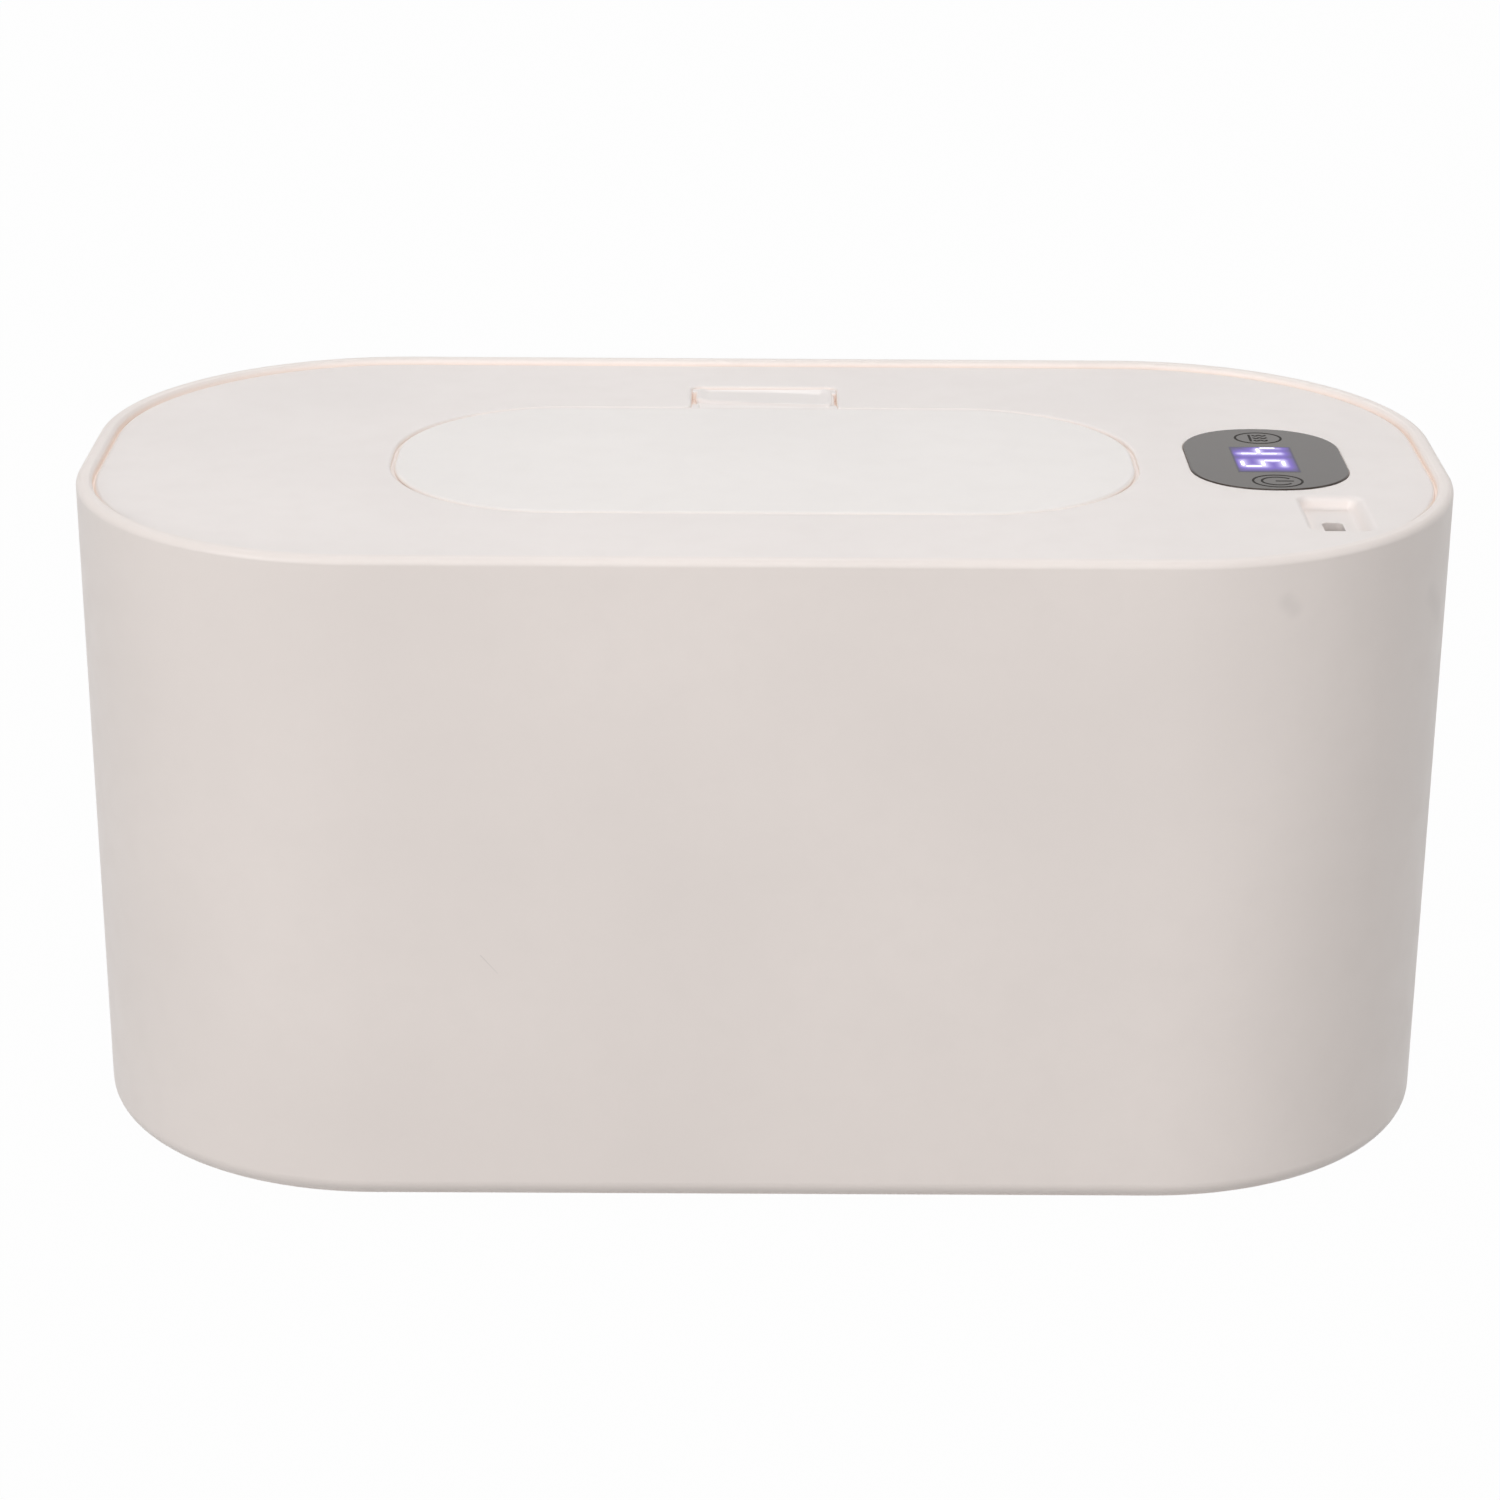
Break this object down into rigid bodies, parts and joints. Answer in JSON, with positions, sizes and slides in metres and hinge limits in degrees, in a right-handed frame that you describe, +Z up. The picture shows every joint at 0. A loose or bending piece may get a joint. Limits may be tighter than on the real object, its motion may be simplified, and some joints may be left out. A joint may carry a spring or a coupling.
{
  "type": "baby wipe warmer",
  "caption": "Deep rounded box that keeps wet wipes warm, with a lift-off lid, a sprung dispensing flap with a push-button latch, a smoked digit display with touch keys, and a power inlet.",
  "frame": {"origin": "centre of the footprint on the surface that the feet stand on", "axes": "+X along the long side towards the display, +Y to the back where the latch button is, +Z up"},
  "size_m": [0.205, 0.11, 0.1005],
  "materials": {
    "shell": "satin moulded off-white ABS",
    "flap_shell": "satin moulded off-white ABS, a little lighter",
    "tub": "fine-textured white polypropylene",
    "base_plastic": "moulded off-white ABS",
    "silicone": "matt silicone",
    "plate": "rolled sheet",
    "polyimide": "amber polyimide film",
    "foam": "closed-cell foam",
    "board": "green solder mask",
    "black_plastic": "moulded epoxy",
    "connector_plastic": "moulded nylon",
    "can": "sleeved can",
    "red_insulation": "silicone insulation",
    "white_insulation": "silicone insulation",
    "smoked_film": "smoked acrylic film",
    "socket_steel": "tinned shell",
    "screw_steel": "zinc plated",
    "pin_steel": "ground",
    "spring_steel": "drawn wire"
  },
  "bodies": {
    "case": {"outer_case": "shell", "inner_tub": "tub", "rubber_feet": "silicone"},
    "lid": {"lid_cover": "shell", "dispenser_well": "shell", "lid_base": "base_plastic", "lid_seal": "silicone", "heating_plate": "plate", "heater_film": "polyimide", "insulation_pad": "foam", "thermal_fuse": "black_plastic", "temperature_sensor": "black_plastic", "control_board": "board", "digit_display": "black_plastic", "touch_springs": "spring_steel", "usb_socket": "socket_steel", "control_chip": "black_plastic", "power_transistor": "black_plastic", "input_capacitor": "can", "wire_connectors": "connector_plastic", "heater_wires": "red_insulation", "sensor_wires": "white_insulation", "display_film": "smoked_film", "lid_screws": "screw_steel", "well_screws": "screw_steel", "board_screws": "screw_steel", "plate_screws": "screw_steel", "hinge_pin": "pin_steel", "flap_spring": "spring_steel", "hook_pin": "pin_steel", "latch_spring": "spring_steel"},
    "flap": {"flap": "flap_shell", "flap_seal": "silicone"},
    "button": {"latch_button": "shell"},
    "hook": {"latch_hook": "base_plastic"}
  },
  "joints": [
    {"name": "lid_lift", "type": "slide", "parent": "case", "child": "lid", "axis": [0, 0, 1], "range_m": [0, 0.09]},
    {"name": "flap_hinge", "type": "hinge", "parent": "lid", "child": "flap", "pos_m": [0, -0.035, 0.0959], "axis": [1, 0, 0], "range_deg": [0, 95]},
    {"name": "button_press", "type": "slide", "parent": "lid", "child": "button", "axis": [0, 0, 1], "range_m": [-0.0014, 0], "stiffness_N_per_m": 600, "springref_m": 0.0006, "deforming": ["latch_spring"]},
    {"name": "hook_turn", "type": "hinge", "parent": "lid", "child": "hook", "pos_m": [0, 0.0306, 0.0902], "axis": [1, 0, 0], "range_deg": [-13.6, 0]}
  ],
  "couplings": [
    {"joint": "hook_turn", "follows": "button_press", "rad_per_m": 166.67}
  ]
}
